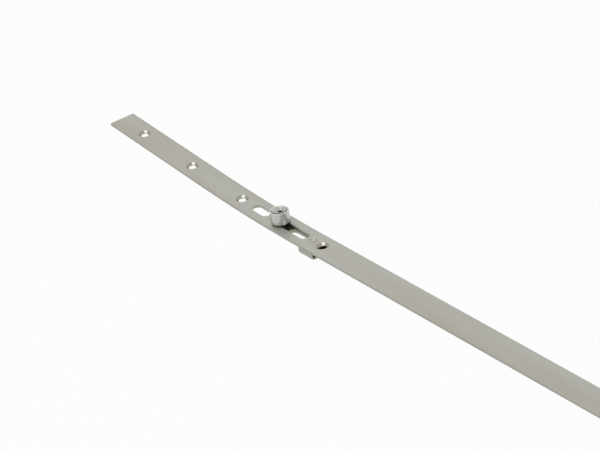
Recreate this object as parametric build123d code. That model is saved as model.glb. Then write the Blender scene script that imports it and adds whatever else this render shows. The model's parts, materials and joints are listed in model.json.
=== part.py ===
from build123d import *
import os
from math import acos, cos, pi, radians, sin, sqrt, tan

# A window espagnolette: a flat steel faceplate with a sliding drive rod under it, a roller cam near each
# end and a rack gearbox in the middle. Millimetres. X runs along the faceplate, Y across it and +Z points
# out of its outer face. Heights here count from the outer face, straight above the spindle. Every piece is
# saved one plate thickness higher, so that the origin is on the plate's seat in the sash.

# Faceplate
plate_length = 1000.0
plate_width = 16.0
plate_thickness = 1.5
plate_edge = 0.2
plate_corner = 0.6

# The photographed end, at -X, is bowed outwards over the cam's slot
bow_angle = 4.6
bow_length = 87.6
bow_from_pin = 23.1

# Countersunk fixing holes, each measured from the nearer end of the plate
screw_hole_diameter = 4.3
screw_head_diameter = 7.2
screw_head_depth = 1.1
first_screw_from_end = 24.3
screw_pitch = 49.0
end_screws = 3
inner_screw_from_pin = 37.0

# Spare oblong hole between the end screws and the cam
oblong_length = 14.0
oblong_width = 5.9
oblong_from_pin = 19.1

# Cam slot, measured from the pin's outermost place
pin_from_end = 160.0
slot_width = 5.7
slot_outer_reach = 4.7
slot_inner_reach = 23.7

# Rack and pinion
gear_module = 1.5
pinion_teeth = 15
pressure_angle = 20.0
pinion_addendum = 1.5
pinion_root_depth = 1.65
rack_addendum = 1.2
rack_root_depth = 1.8
tooth_play = 0.08
spindle_turn = 90.0
backset = 22.0

# Drive rods
rod_width = 10.0
rod_thickness = 2.0
rod_below_plate = 0.7
rod_end_reach = 9.3
rod_end_radius = 2.0
rod_slot_width = 6.1
rod_slot_gap = 1.2
rod_slot_past_screw = 4.7
rod_side_play = 0.2

# Roller cam
eccentricity = 0.8
neck_diameter = 4.4
journal_diameter = 6.0
collar_diameter = 5.5
collar_height = 0.5
glide_length = 10.4
glide_width = 10.0
glide_thickness = 0.5
glide_corner = 0.8
flange_diameter = 8.2
flange_height = 0.62
flange_thickness = 0.28
roller_diameter = 10.6
roller_bottom = 1.0
roller_height = 6.95
roller_rim_width = 1.0
roller_recess = 1.5
roller_edge = 0.25
head_gap = 0.2
head_rise = 0.25
head_dish_rim = 0.5
head_dish_depth = 0.35
socket_across = 2.2
socket_depth = 2.2
socket_mouth_radius = 1.8
socket_mouth_depth = 0.55
turn_play = 0.05
end_play = 0.1
washer_diameter = 8.4
washer_thickness = 0.8
tail_head_diameter = 6.2
tail_head_thickness = 0.7

# Guide clips under the plate
clip_from_pin = 25.5
clip_length = 11.7
clip_depth = 4.2
clip_sheet = 1.0
clip_corner_radius = 2.0
clip_inset = 0.05
clip_notch_diameter = 5.2
rivet_from_pin = 28.6
rivet_shank_diameter = 3.6
rivet_head_diameter = 4.8
rivet_head_depth = 0.6
rivet_tail_diameter = 5.6
rivet_tail_thickness = 0.8
rivet_play = 0.03

# Gearbox case
case_half_length = 60.0
case_depth = 37.0
case_wall = 1.2
case_rim = 1.9
case_corner_radius = 7.0
case_edge = 0.4
hub_boss_width = 2.0
hub_boss_height = 0.6
rim_below_rod = 0.4
block_length = 10.3
block_height = 9.4
gearbox_screw_from_case_end = 9.5
gearbox_screw_diameter = 4.0
gearbox_screw_length = 12.0
gearbox_screw_socket = 2.5
gearbox_screw_socket_depth = 1.6
thread_play = 0.05
screw_tip_room = 0.5
case_rivet_diameter = 4.0
case_rivet_head_diameter = 6.6
case_rivet_head_height = 0.9
upper_rivet_from_case_end = 4.8
upper_rivet_below_block_top = 5.4
lower_rivet_from_case_end = 10.0
lower_rivet_from_floor = 7.5
rivet_boss_diameter = 7.4

# Follower pinion and rack
spindle_square = 7.05
square_chamfer = 0.4
journal_of_follower = 17.0
follower_play = 0.05
follower_side_play = 0.2
rack_width = 7.6
rack_outer_end = 34.0
rack_inner_end = 24.0
rack_teeth_before = 6
rack_teeth_after = 2
rack_rivet_diameter = 4.0
rack_rivet_depth = 3.2
rack_rivet_head_diameter = 5.6
rack_rivet_head_height = 0.35
rack_rivets_left = (-29.0, -12.0)
rack_rivets_right = (8.0, 19.0)
rod_joint_x = 2.0
rod_joint_gap = 0.3

# Handle fixing pillars
handle_screw_spacing = 43.0
handle_screw_hole = 5.2
pillar_diameter = 8.4

# Worked out from the sizes above
half_plate = plate_length / 2
plate_under = -plate_thickness
bow_radius = bow_length / radians(bow_angle)
pin_x = half_plate - pin_from_end
pitch_radius = gear_module * pinion_teeth / 2
travel = pitch_radius * radians(spindle_turn)
pitch_line = -backset + pitch_radius
rod_top = plate_under - rod_below_plate
rod_under = rod_top - rod_thickness
glide_top = rod_top + glide_thickness
clip_under = plate_under - clip_depth
roller_top = roller_bottom + roller_height
case_inner = rod_width / 2 + rod_side_play
case_outer = case_inner + case_wall
case_floor = -case_depth
block_top = rod_under - rim_below_rod
gearbox_screw_x = case_half_length - gearbox_screw_from_case_end
upper_rivet_x = case_half_length - upper_rivet_from_case_end
upper_rivet_z = block_top - upper_rivet_below_block_top
lower_rivet_x = case_half_length - lower_rivet_from_case_end
lower_rivet_z = case_floor + lower_rivet_from_floor

# How far a cutter reaches: past the face it cuts, or through everything
overcut = 1.0
through = 2 * plate_width


def save(name, *solids):
    """Writes one node, of one solid or of several like ones, with heights from the plate's seat."""
    raised = [Pos(0, 0, plate_thickness) * solid for solid in solids]
    shape = raised[0] if len(raised) == 1 else Compound(children=raised)
    export_step(shape, f"parts/{name}.step")


def rod_z(radius, low, high, x=0.0, y=0.0):
    """Upright cylinder between two heights."""
    return Pos(x, y, (low + high) / 2) * Cylinder(radius, high - low)


def rod_y(radius, low, high, x=0.0, z=0.0):
    """Cylinder across the strip, between two values of Y."""
    return Pos(x, (low + high) / 2, z) * Rot(90, 0, 0) * Cylinder(radius, high - low)


def cone_z(low_radius, high_radius, low, high, x=0.0):
    """Upright cone between two heights."""
    return Pos(x, 0, (low + high) / 2) * Cone(low_radius, high_radius, high - low)


def block(x0, x1, y0, y1, z0, z1):
    """Box between two corners."""
    return Pos((x0 + x1) / 2, (y0 + y1) / 2, (z0 + z1) / 2) * Box(x1 - x0, y1 - y0, z1 - z0)


def slot_z(x0, x1, width, z0, z1):
    """Round-ended slot cutter along X, between two heights."""
    outline = Pos((x0 + x1) / 2, 0, z0) * SlotOverall(x1 - x0, width)
    return extrude(outline, z1 - z0)


def mirrored(x):
    """The same distance on both sides of the spindle."""
    return (-x, x)


def bow_point(turned):
    """Point on the outer face at a given angle into the bow, as X and Z."""
    start = -pin_x + bow_from_pin
    return start - bow_radius * sin(turned), bow_radius * (1 - cos(turned))


def on_plate(x):
    """Frame on the outer face at a place measured along the strip, which the bow lifts and tilts."""
    start = -pin_x + bow_from_pin
    if x >= start:
        return Location((x, 0, 0))
    turned = min((start - x) / bow_radius, radians(bow_angle))
    beyond = max(start - bow_length - x, 0.0)
    px, pz = bow_point(turned)
    return Location((px - beyond * cos(turned), 0, pz + beyond * sin(turned)), (0, turned * 180 / pi, 0))


def plate_blank():
    """The strip before punching: its bowed side outline, as wide as the plate, with broken edges."""
    angle = radians(bow_angle)
    start = -pin_x + bow_from_pin
    straight_end = half_plate - (bow_length - start)
    top = [(half_plate, 0), (start, 0), bow_point(angle / 2), bow_point(angle)]
    top.append((top[3][0] - straight_end * cos(angle), top[3][1] + straight_end * sin(angle)))
    drop = [0, 0, angle / 2, angle, angle]
    under = [
        (x - plate_thickness * sin(a), z - plate_thickness * cos(a)) for (x, z), a in zip(top, drop)
    ]
    sides = [Line(top[0], top[1]), ThreePointArc(top[1], top[2], top[3]), Line(top[3], top[4])]
    sides += [Line(top[4], under[4]), Line(under[4], under[3])]
    sides += [ThreePointArc(under[3], under[2], under[1]), Line(under[1], under[0]), Line(under[0], top[0])]
    profile = Plane.XZ * make_face(Wire(sides))
    blank = extrude(profile, plate_width / 2, both=True)
    uprights = [e for e in blank.edges() if e.length < plate_thickness * 1.01]
    tip = half_plate - first_screw_from_end
    blank = chamfer([e for e in uprights if abs(e.center().X) > tip], plate_corner)
    lying = [e for e in blank.edges() if abs(e.length - plate_thickness) > plate_edge]
    rims = [e for e in lying if abs(e.center().Y) > plate_width / 4 or abs(e.center().X) > tip]
    return chamfer(rims, plate_edge)


def countersunk_cutter():
    """Through hole with its countersink, on the outer face at the origin."""
    hole = rod_z(screw_hole_diameter / 2, -2 * plate_thickness, plate_thickness)
    sink = cone_z(screw_hole_diameter / 2, screw_head_diameter / 2, -screw_head_depth, 0)
    return hole + sink + rod_z(screw_head_diameter / 2, 0, plate_thickness)


def rivet_cutter():
    """Hole for a flush rivet, on the outer face at the origin."""
    shank = rivet_shank_diameter / 2 + rivet_play
    head = rivet_head_diameter / 2 + rivet_play
    hole = rod_z(shank, -2 * plate_thickness, plate_thickness)
    return hole + cone_z(shank, head, -rivet_head_depth, 0) + rod_z(head, 0, plate_thickness)


def screw_places():
    """Where the fixing screws go, along the strip, on both halves of the plate."""
    from_end = [first_screw_from_end + i * screw_pitch for i in range(end_screws)]
    from_end.append(pin_from_end + inner_screw_from_pin)
    return [sign * (half_plate - place) for place in from_end for sign in (-1, 1)]


def faceplate():
    plate = plate_blank()
    for x in screw_places() + list(mirrored(gearbox_screw_x)):
        plate -= on_plate(x) * countersunk_cutter()
    for sign in (-1, 1):
        plate -= on_plate(sign * (pin_x - rivet_from_pin)) * rivet_cutter()
        oblong = slot_z(-oblong_length / 2, oblong_length / 2, oblong_width, -through, through)
        plate -= on_plate(sign * (pin_x + oblong_from_pin)) * oblong
        length = slot_outer_reach + slot_inner_reach
        middle = pin_x + (slot_outer_reach - slot_inner_reach) / 2
        plate -= on_plate(sign * middle) * slot_z(-length / 2, length / 2, slot_width, -through, through)
    return plate


def drive_rod(sign, x_pin, rivets):
    """Flat rod from its cam pin to the rack, on which its inner end is riveted."""
    outer = x_pin + sign * rod_end_reach
    inner = rod_joint_x + sign * rod_joint_gap / 2
    rod = block(min(outer, inner), max(outer, inner), -rod_width / 2, rod_width / 2, rod_under, rod_top)
    tips = [e for e in rod.edges().filter_by(Axis.Z) if abs(e.center().X - outer) < rod_end_radius]
    rod = fillet(tips, rod_end_radius)
    cut_low, cut_high = rod_under - overcut, rod_top + overcut
    near = x_pin - sign * (glide_length / 2 + rod_slot_gap)
    past = inner_screw_from_pin + rod_slot_past_screw
    far = sign * (pin_x - past) if sign < 0 else pin_x - past - travel
    rod -= slot_z(min(near, far), max(near, far), rod_slot_width, cut_low, cut_high)
    reach = gearbox_screw_diameter / 2 + 2 * rod_side_play
    screw_x = sign * gearbox_screw_x
    rod -= slot_z(screw_x - travel - reach, screw_x + reach, 2 * reach, cut_low, cut_high)
    rod -= rod_z(neck_diameter / 2 + turn_play, cut_low, cut_high, x_pin)
    for x in rivets:
        rod -= rod_z(rack_rivet_diameter / 2 + rivet_play, cut_low, cut_high, x)
    return rod


def cam_glide(x_pin):
    """Black slide shoe on the rod, with a collar that guides the pin's neck in the plate's slot."""
    half_x, half_y = glide_length / 2, glide_width / 2
    shoe = block(x_pin - half_x, x_pin + half_x, -half_y, half_y, rod_top, glide_top)
    shoe = chamfer(shoe.edges().filter_by(Axis.Z), glide_corner)
    collar = rod_z(collar_diameter / 2, rod_top, collar_height, x_pin)
    return shoe + collar - rod_z(neck_diameter / 2 + turn_play, rod_under, roller_bottom, x_pin)


def cam_washer(x_pin):
    """Spring washer under the rod that holds the eccentric where it is turned."""
    low = rod_under - washer_thickness
    ring = rod_z(washer_diameter / 2, low, rod_under, x_pin)
    return ring - rod_z(neck_diameter / 2 + turn_play, low - overcut, rod_under + overcut, x_pin)


def head_top():
    return roller_top + head_rise


def roller_bore():
    return journal_diameter / 2 + turn_play


def recess_radius():
    return roller_diameter / 2 - roller_rim_width


def cam_pin(sign, x_pin):
    """Eccentric pin: neck in the rod, flange and journal, and a dished head with its socket over the neck."""
    x_roller = x_pin + sign * eccentricity
    tail_low = rod_under - washer_thickness - end_play - tail_head_thickness
    pin = rod_z(neck_diameter / 2, tail_low + tail_head_thickness, flange_height, x_pin)
    crown = tail_head_diameter / 2 - tail_head_thickness / 2
    pin += cone_z(crown, tail_head_diameter / 2, tail_low, tail_low + tail_head_thickness, x_pin)
    pin += rod_z(flange_diameter / 2, flange_height, flange_height + flange_thickness, x_roller)
    head_low = roller_top - roller_recess + end_play
    pin += rod_z(journal_diameter / 2, flange_height + flange_thickness, head_low, x_roller)
    head_radius = recess_radius() - head_gap
    pin += rod_z(head_radius, head_low, head_top(), x_roller)
    dish_radius = head_radius - head_dish_rim
    dish_low = head_top() - head_dish_depth
    pin -= cone_z(dish_radius - head_dish_depth, dish_radius, dish_low, head_top(), x_roller)
    corner = socket_across / 2 / cos(radians(30))
    mouth_low = dish_low - socket_mouth_depth
    pin -= cone_z(corner, socket_mouth_radius, mouth_low, dish_low, x_pin)
    socket = RegularPolygon(socket_across / 2, 6, major_radius=False)
    return pin - extrude(Pos(x_pin, 0, dish_low - socket_depth) * socket, socket_depth)


def cam_roller(sign, x_pin):
    """Free-turning steel roller with a recess for the pin's head."""
    x_roller = x_pin + sign * eccentricity
    roller = rod_z(roller_diameter / 2, roller_bottom, roller_top, x_roller)
    roller = chamfer(roller.edges().filter_by(GeomType.CIRCLE).group_by(Axis.Z)[-1], roller_edge)
    roller -= rod_z(roller_bore(), roller_bottom - overcut, roller_top + overcut, x_roller)
    return roller - rod_z(recess_radius(), roller_top - roller_recess, roller_top + overcut, x_roller)


def guide_clip(sign):
    """U-shaped sheet clip that hangs from the plate and carries the rod, with a notch for the screw."""
    inner_x = pin_x - clip_from_pin - clip_length
    outer_x = pin_x - clip_from_pin
    half = plate_width / 2 - clip_inset
    bar = block(inner_x, outer_x, -half, half, clip_under, plate_under)
    bar = fillet(bar.edges().filter_by(Axis.X).group_by(Axis.Z)[0], clip_corner_radius)
    wall = half - clip_sheet
    cut_in, cut_out = inner_x - overcut, outer_x + overcut
    hollow = block(cut_in, cut_out, -wall, wall, clip_under + clip_sheet, 0)
    inner_corners = hollow.edges().filter_by(Axis.X).group_by(Axis.Z)[0]
    bar -= fillet(inner_corners, clip_corner_radius - clip_sheet)
    notch = clip_notch_diameter / 2
    screw_x = pin_x - inner_screw_from_pin
    low, high = clip_under - overcut, clip_under + clip_sheet + overcut
    bar -= rod_z(notch, low, high, screw_x)
    bar -= block(cut_in, screw_x, -notch, notch, low, high)
    rivet_x = pin_x - rivet_from_pin
    bar -= rod_z(rivet_shank_diameter / 2 + rivet_play, low, plate_under, rivet_x)
    return bar if sign > 0 else mirror(bar, Plane.YZ)


def clip_rivet(x):
    """Flush rivet from the plate's outer face, through the rod's slot, to the clip's floor."""
    shank_radius = rivet_shank_diameter / 2
    shank = rod_z(shank_radius, clip_under, 0, x)
    head = cone_z(shank_radius, rivet_head_diameter / 2, -rivet_head_depth, 0, x)
    crown = rivet_tail_diameter / 2 - rivet_tail_thickness
    tail = cone_z(crown, rivet_tail_diameter / 2, clip_under - rivet_tail_thickness, clip_under, x)
    return shank + head + tail


def involute_point(base_radius, radius):
    """Angle of an involute at a radius, from where it leaves its base circle."""
    slope = sqrt(max((radius / base_radius) ** 2 - 1, 0))
    return slope - acos(base_radius / radius)


def pinion_outline():
    """Pinion teeth as a face in X and Z about the spindle, with one tooth pointing at the rack."""
    base = pitch_radius * cos(radians(pressure_angle))
    tip = pitch_radius + pinion_addendum
    root = pitch_radius - pinion_root_depth
    at_pitch = involute_point(base, pitch_radius)
    half_tooth = pi / 2 / pinion_teeth - tooth_play / 2 / pitch_radius + at_pitch

    def point(radius, side, centre):
        away = half_tooth - involute_point(base, max(radius, base))
        angle = centre + side * away
        return radius * sin(angle), radius * cos(angle)

    step = 2 * pi / pinion_teeth
    edges = []
    for i in range(pinion_teeth):
        centre = i * step
        low_in, mid_in, tip_in = (point(r, -1, centre) for r in (base, (base + tip) / 2, tip))
        tip_out, mid_out, low_out = (point(r, 1, centre) for r in (tip, (base + tip) / 2, base))
        foot_in, foot_out = point(root, -1, centre), point(root, 1, centre)
        next_foot = point(root, -1, centre + step)
        edges += [Line(foot_in, low_in), ThreePointArc(low_in, mid_in, tip_in)]
        edges += [ThreePointArc(tip_in, (tip * sin(centre), tip * cos(centre)), tip_out)]
        edges += [ThreePointArc(tip_out, mid_out, low_out), Line(low_out, foot_out)]
        halfway = centre + step / 2
        edges += [ThreePointArc(foot_out, (root * sin(halfway), root * cos(halfway)), next_foot)]
    return make_face(Wire(edges))


def follower_pinion():
    """Pinion and its two journals in one, with the square hole for the handle's spindle."""
    teeth = extrude(Plane.XZ * pinion_outline(), case_inner - follower_side_play, both=True)
    reach = case_outer + hub_boss_height
    follower = teeth + rod_y(journal_of_follower / 2, -reach, reach)
    half = spindle_square / 2
    follower -= block(-half, half, -through, through, -half, half)
    mouth = extrude(Rectangle(*[spindle_square + 2 * square_chamfer] * 2), square_chamfer, taper=45)
    for sign in (-1, 1):
        follower -= Pos(0, sign * reach, 0) * Rot(sign * 90, 0, 0) * mouth
    return Pos(0, 0, -backset) * follower


def rack_tooth(x):
    """One rack tooth, pointing down at the pinion, as a face in X and Z."""
    slope = tan(radians(pressure_angle))
    half = pi * gear_module / 4 - tooth_play / 2
    tip, foot = half - rack_addendum * slope, half + rack_root_depth * slope
    low, high = pitch_line - rack_addendum, pitch_line + rack_root_depth
    corners = [(x - tip, low), (x + tip, low), (x + foot, high), (x - foot, high)]
    return Plane.XZ * make_face(Polyline(*corners, close=True))


def rack_bar():
    """Toothed bar under the rods, which it joins."""
    half = rack_width / 2
    floor = pitch_line + rack_root_depth
    bar = block(-rack_outer_end, rack_inner_end, -half, half, floor, rod_under)
    pitch = pi * gear_module
    for i in range(-rack_teeth_before, rack_teeth_after):
        bar += extrude(rack_tooth((i + 0.5) * pitch), half, both=True)
    for x in rack_rivets_left + rack_rivets_right:
        low, high = rod_under - rack_rivet_depth, rod_under + overcut
        bar -= rod_z(rack_rivet_diameter / 2 + rivet_play, low, high, x)
    return bar


def rack_rivet(x):
    """Stud that ties a rod to the rack, with a low head above the rod."""
    stud = rod_z(rack_rivet_diameter / 2, rod_under - rack_rivet_depth + rivet_play, rod_top, x)
    crown = rack_rivet_head_diameter / 2 - rack_rivet_head_height
    top = rod_top + rack_rivet_head_height
    return stud + cone_z(rack_rivet_head_diameter / 2, crown, rod_top, top, x)


def case_outline(shrink=0.0):
    """Case shape in X and Z, with its two lower corners rounded."""
    half = case_half_length - shrink
    low = case_floor + shrink
    radius = case_corner_radius - shrink
    body = Pos(0, (plate_under + low) / 2) * Rectangle(2 * half, plate_under - low)
    return Plane.XZ * fillet(body.vertices().group_by(Axis.Y)[0], radius)


def case_holes():
    """Cutters through both case walls: spindle hub, handle screws and rivets."""
    cut = rod_y(journal_of_follower / 2 + follower_play, -through, through, z=-backset)
    for x in mirrored(handle_screw_spacing / 2):
        cut += rod_y(handle_screw_hole / 2, -through, through, x, -backset)
    for x, z in case_rivet_places():
        cut += rod_y(case_rivet_diameter / 2 + rivet_play, -through, through, x, z)
    return cut


def case_rivet_places():
    places = [(x, upper_rivet_z) for x in mirrored(upper_rivet_x)]
    return places + [(x, lower_rivet_z) for x in mirrored(lower_rivet_x)]


def case_wall_plate(sign):
    """One flat side of the case, with its raised ring round the hub."""
    middle = sign * (case_inner + case_wall / 2)
    wall = Pos(0, middle, 0) * extrude(case_outline(), case_wall / 2, both=True)
    face = sign * case_outer
    outer_edges = [e for e in wall.edges() if abs(e.center().Y - face) < case_edge / 2]
    rims = [e for e in outer_edges if e.center().Z < plate_under - case_edge]
    wall = chamfer(rims, case_edge)
    low, high = sorted((sign * case_inner, face + sign * hub_boss_height))
    return wall + rod_y(journal_of_follower / 2 + hub_boss_width, low, high, z=-backset)


def case_tray():
    """Back shell of the gearbox: wall, rim and rivet bosses."""
    wall = case_wall_plate(1)
    rim = extrude(case_outline(), case_inner, both=True)
    rim -= extrude(case_outline(case_rim), 2 * case_inner, both=True)
    rim -= block(-2 * case_half_length, 2 * case_half_length, -through, through, block_top, 0)
    tray = wall + rim
    for x in mirrored(lower_rivet_x):
        tray += rod_y(rivet_boss_diameter / 2, -case_inner, case_inner, x, lower_rivet_z)
    return tray - case_holes()


def case_cover():
    return case_wall_plate(-1) - case_holes()


def end_block(sign):
    """Cast block between the case walls that takes the gearbox screw and a case rivet."""
    outer = case_half_length - case_rim
    body = block(outer - block_length, outer, -case_inner, case_inner, block_top - block_height, block_top)
    tip = -gearbox_screw_length - screw_tip_room
    body -= rod_z(gearbox_screw_diameter / 2 + thread_play, tip, 0, gearbox_screw_x)
    body -= rod_y(case_rivet_diameter / 2 + rivet_play, -through, through, upper_rivet_x, upper_rivet_z)
    return body if sign > 0 else mirror(body, Plane.YZ)


def gearbox_screw(x):
    """Countersunk socket screw from the plate's outer face into an end block."""
    neck = screw_hole_diameter / 2 - thread_play
    head = screw_head_diameter / 2 - thread_play
    screw = rod_z(gearbox_screw_diameter / 2, -gearbox_screw_length, 0, x)
    screw += cone_z(neck, head, -screw_head_depth, 0, x)
    socket = RegularPolygon(gearbox_screw_socket / 2, 6, major_radius=False)
    depth = gearbox_screw_socket_depth
    return screw - extrude(Pos(x, 0, -depth) * socket, depth + overcut)


def case_rivet(x, z):
    """Rivet through both case walls, with a flat head each side."""
    rivet = rod_y(case_rivet_diameter / 2, -case_outer, case_outer, x, z)
    for sign in (-1, 1):
        low, high = sorted((sign * case_outer, sign * (case_outer + case_rivet_head_height)))
        rivet += rod_y(case_rivet_head_diameter / 2, low, high, x, z)
    return rivet


def handle_pillar(x):
    """Tube between the case walls that a handle screw passes through."""
    tube = rod_y(pillar_diameter / 2, -case_inner, case_inner, x, -backset)
    return tube - rod_y(handle_screw_hole / 2, -through, through, x, -backset)


def main():
    os.makedirs("parts", exist_ok=True)
    save("faceplate", faceplate())
    sides = {"left": (-1, -pin_x, rack_rivets_left), "right": (1, pin_x - travel, rack_rivets_right)}
    for side, (sign, x_pin, rivets) in sides.items():
        save(f"drive_rod_{side}", drive_rod(sign, x_pin, rivets))
        save(f"cam_glide_{side}", cam_glide(x_pin))
        save(f"cam_washer_{side}", cam_washer(x_pin))
        save(f"cam_pin_{side}", cam_pin(sign, x_pin))
        save(f"cam_roller_{side}", cam_roller(sign, x_pin))
        save(f"guide_clip_{side}", guide_clip(sign))
        save(f"end_block_{side}", end_block(sign))
        save(f"handle_pillar_{side}", handle_pillar(sign * handle_screw_spacing / 2))
    save("clip_rivets", *[clip_rivet(x) for x in mirrored(pin_x - rivet_from_pin)])
    save("rack_bar", rack_bar())
    save("rack_rivets", *[rack_rivet(x) for x in rack_rivets_left + rack_rivets_right])
    save("follower_pinion", follower_pinion())
    save("case_tray", case_tray())
    save("case_cover", case_cover())
    save("case_rivets", *[case_rivet(x, z) for x, z in case_rivet_places()])
    save("gearbox_screws", *[gearbox_screw(x) for x in mirrored(gearbox_screw_x)])


main()
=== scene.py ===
import json
from collections import namedtuple
from math import atan2, cos, hypot, pi, radians, sin

import bmesh
import bpy
from bpy.props import FloatProperty, FloatVectorProperty, IntProperty, PointerProperty
from bpy.types import Operator, Panel, PropertyGroup
from mathutils import Matrix, Vector


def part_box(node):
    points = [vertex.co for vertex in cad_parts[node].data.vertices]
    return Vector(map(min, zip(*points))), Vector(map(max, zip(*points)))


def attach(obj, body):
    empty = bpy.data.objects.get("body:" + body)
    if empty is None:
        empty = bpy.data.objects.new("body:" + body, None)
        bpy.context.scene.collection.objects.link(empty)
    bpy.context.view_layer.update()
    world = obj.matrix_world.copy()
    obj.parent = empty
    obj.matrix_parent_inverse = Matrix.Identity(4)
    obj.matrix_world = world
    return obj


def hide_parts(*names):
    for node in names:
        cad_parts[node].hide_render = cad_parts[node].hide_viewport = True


bl_info = {
    "name": "Window espagnolette",
    "version": (1, 0, 0),
    "blender": (4, 5, 0),
    "location": "3D View > Sidebar > Espagnolette",
    "description": "Dresses a window espagnolette: bowed faceplate, drive rods, roller cams and gearbox",
    "category": "Object",
}

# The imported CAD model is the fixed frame. Everything here is in metres, in its coordinates: X along the
# faceplate, Y across it, +Z out of its outer face, and the origin on its underside over the spindle.
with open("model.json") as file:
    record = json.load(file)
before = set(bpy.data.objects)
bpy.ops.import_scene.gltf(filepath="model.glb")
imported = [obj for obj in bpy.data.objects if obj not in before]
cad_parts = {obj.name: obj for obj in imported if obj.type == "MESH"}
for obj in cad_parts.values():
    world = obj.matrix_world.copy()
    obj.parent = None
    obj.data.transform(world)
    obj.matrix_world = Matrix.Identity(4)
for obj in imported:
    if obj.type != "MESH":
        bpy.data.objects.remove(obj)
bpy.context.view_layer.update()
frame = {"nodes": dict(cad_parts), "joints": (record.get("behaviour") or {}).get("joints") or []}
SIDES = {"left": -1, "right": 1}

# Points closer than this are one point
MERGE = 2e-6
# Edges that turn more than this are sharp ones
SHARP = radians(28)
# Facets of a CAD node that turn less than this are one face
FLAT = radians(1)
# Facets round the roller, other turned pieces, small fasteners and holes
ROLLER_FACETS, TURNED_FACETS, FASTENER_FACETS, HOLE_FACETS = 96, 72, 48, 48
# Length of one facet along the bow, and the number of facets round a bend of the clip
BOW_FACET, CLIP_BEND_FACETS = 0.003, 6
# The foot of a socket's cone over the hexagon in it, and the point of its bottom over its width
CONE_FOOT, DRILL_POINT = 1.05, 0.2
# How far the turned part of a dish reaches inwards, over its depth
DISH_REACH = 1.5
# The mouth of a screw's socket over its width, and the depth of its thread over the pitch
SCREW_MOUTH, THREAD_DEPTH = 1.25, 0.6
WHITE = (1, 1, 1, 1)


def mm(name, description, default):
    """A length, written in millimetres and kept in metres."""
    return FloatProperty(
        name=name, description=description, default=default / 1000, min=0.0, unit="LENGTH", precision=5
    )


def degrees(name, description, default):
    """An angle, written in degrees and kept in radians."""
    return FloatProperty(
        name=name, description=description, default=radians(default), unit="ROTATION", precision=3
    )


def colour(name, description, default):
    """A colour in linear light."""
    return FloatVectorProperty(
        name=name, description=description, default=default, min=0.0, max=1.0, size=3, subtype="COLOR"
    )


def share(name, description, default):
    """A number between 0 and 1."""
    return FloatProperty(
        name=name, description=description, default=default, min=0.0, max=1.0, subtype="FACTOR"
    )


def pixels(name, description, default):
    """A measure in pixels of the photograph."""
    return FloatProperty(name=name, description=description, default=default, subtype="PIXEL")


def watts(name, description, default):
    """A lamp's power."""
    return FloatProperty(name=name, description=description, default=default, unit="POWER")


def lamp_place(name, description, default):
    """A lamp's place in metres, from the left cam's foot."""
    return FloatVectorProperty(
        name=name, description=description, default=default, size=3, subtype="TRANSLATION", unit="LENGTH"
    )


def joint_place(name):
    """Where a joint's axis passes, in the frame."""
    return Vector(next(j["pos_m"] for j in frame["joints"] if j["name"] == name))


class FaceplateSettings(PropertyGroup):
    thickness: mm("Thickness", "Sheet of the faceplate", 1.5)
    edge_radius: mm("Edge radius", "Rolled long edges of the strip", 0.25)
    corner_radius: mm("Corner radius", "Corners at the strip's two ends", 0.6)
    rim_radius: mm("Rim radius", "Edge that punching leaves round holes", 0.08)
    bow_angle: degrees("Bow angle", "How far the left end is bent outwards", 4.6)
    bow_length: mm("Bow length", "Length of strip that takes the bend", 87.6)
    bow_from_pin: mm("Bow from pin", "From the left cam's pin to where the bend starts", 23.1)
    pin_from_end: mm("Pin from end", "From each end to the cam pin's outermost place", 160)
    screw_hole: mm("Screw hole", "Diameter of a fixing hole", 4.3)
    screw_head: mm("Countersink", "Diameter of a countersink at the outer face", 7.2)
    sink_depth: mm("Countersink depth", "Depth of a countersink", 1.1)
    first_screw: mm("First screw", "From each end to the first fixing hole", 24.3)
    screw_pitch: mm("Screw pitch", "Between the three fixing holes of an end", 49)
    end_screws: IntProperty(name="End screws", description="Fixing holes outside each cam", default=3, min=1)
    inner_screw: mm("Inner screw", "From the pin to the fixing hole over the clip", 37)
    gearbox_screw: mm("Gearbox screw", "From the spindle to each gearbox screw", 50.5)
    oblong_length: mm("Oblong length", "Overall length of the spare oblong hole", 14)
    oblong_width: mm("Oblong width", "Width of the spare oblong hole", 5.9)
    oblong_from_pin: mm("Oblong from pin", "From the pin to the oblong hole's middle", 19.1)
    slot_width: mm("Slot width", "Width of the cam's slot", 5.7)
    slot_outer: mm("Slot outwards", "From the pin's outermost place to the slot's outer end", 4.7)
    slot_inner: mm("Slot inwards", "From the pin's outermost place to the slot's inner end", 23.7)
    rivet_from_pin: mm("Rivet from pin", "From the pin to the clip's rivet", 28.6)
    rivet_head: mm("Rivet head", "Diameter of the flush rivet head", 4.8)
    rivet_shank: mm("Rivet shank", "Diameter of the rivet's shank", 3.6)
    rivet_sink: mm("Rivet sink", "Depth of the rivet head's countersink", 0.6)
    rivet_play: mm("Rivet play", "Ring of air round the rivet head", 0.04)
    rivet_crown: mm("Rivet crown", "How far the rivet head's edge lies under its middle", 0.5)


class RodSettings(PropertyGroup):
    edge_radius: mm("Edge radius", "Rolled edges of the drive rods", 0.2)
    end_radius: mm("End radius", "Corners at a rod's outer end", 2)
    slot_width: mm("Slot width", "Width of the slots that pass screws and rivets", 6.1)
    slot_gap: mm("Slot gap", "From the slide shoe to the rod's first slot", 1.2)
    slot_past_screw: mm("Slot past screw", "How far that slot runs past the inner screw", 4.7)
    screw_slot_width: mm("Gearbox slot", "Width of the slot for the gearbox screw", 4.8)
    travel: mm("Travel", "Slide of the rods for a quarter turn of the spindle", 17.671)


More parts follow.
